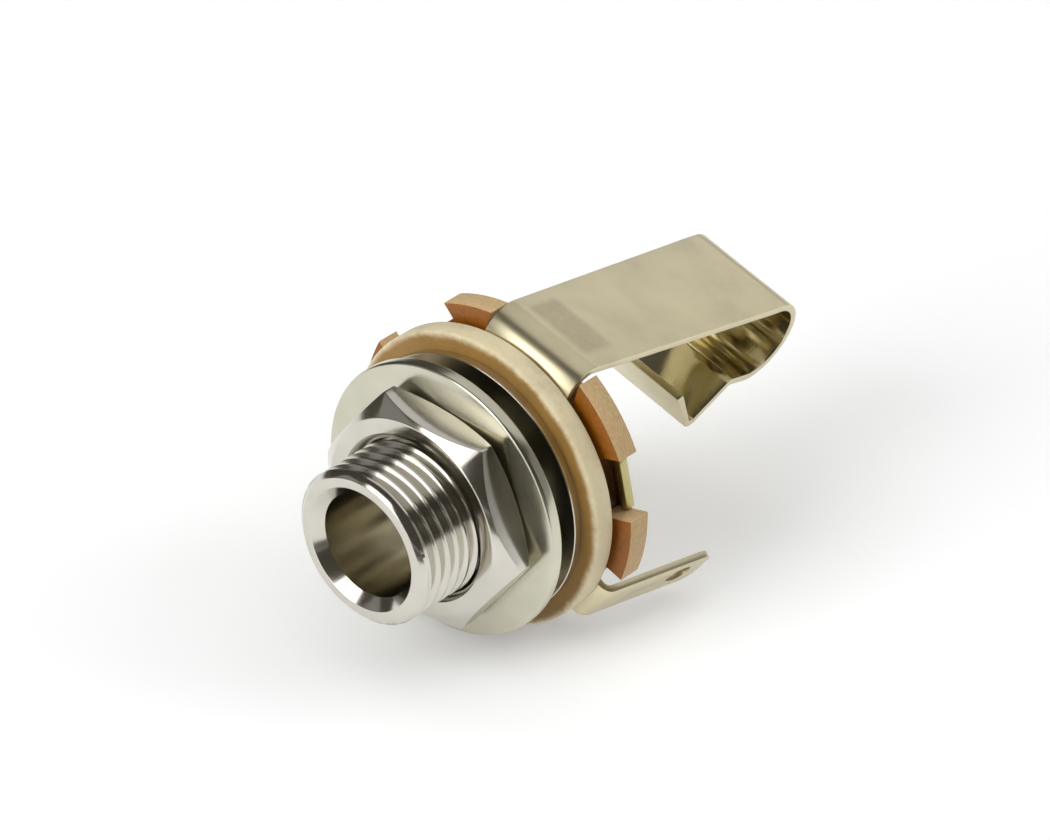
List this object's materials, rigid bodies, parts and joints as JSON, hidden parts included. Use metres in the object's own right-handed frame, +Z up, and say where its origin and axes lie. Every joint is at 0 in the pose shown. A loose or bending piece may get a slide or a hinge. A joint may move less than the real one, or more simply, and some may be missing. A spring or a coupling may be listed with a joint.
{
  "type": "quarter-inch output jack",
  "caption": "Open-frame mono phone jack: threaded bushing with nut and washer, insulating washers, folded tip spring and two solder lugs.",
  "frame": {"origin": "on the plug axis in the plane of the flange's front face, where the back of the panel sits", "axes": "the plug axis is Y: the mouth faces -Y and the contact spring runs to +Y; +Z is up, with the tip spring 18 degrees from it towards +X"},
  "size_m": [0.02, 0.0334, 0.0196],
  "materials": {
    "nickel_plate": "bright nickel plate",
    "plated_steel": "bright plate",
    "cream_fibre": "matte",
    "brown_phenolic": "matte, cut edges rough",
    "nickel_silver": "satin rolled sheet",
    "tinned_brass": "satin rolled sheet"
  },
  "bodies": {
    "root": {"bushing": "nickel_plate", "hex_nut": "nickel_plate", "flat_washer": "plated_steel", "fibre_ring": "cream_fibre", "castellated_washer": "brown_phenolic", "tip_contact": "nickel_silver", "sleeve_terminal": "tinned_brass"}
  },
  "joints": []
}
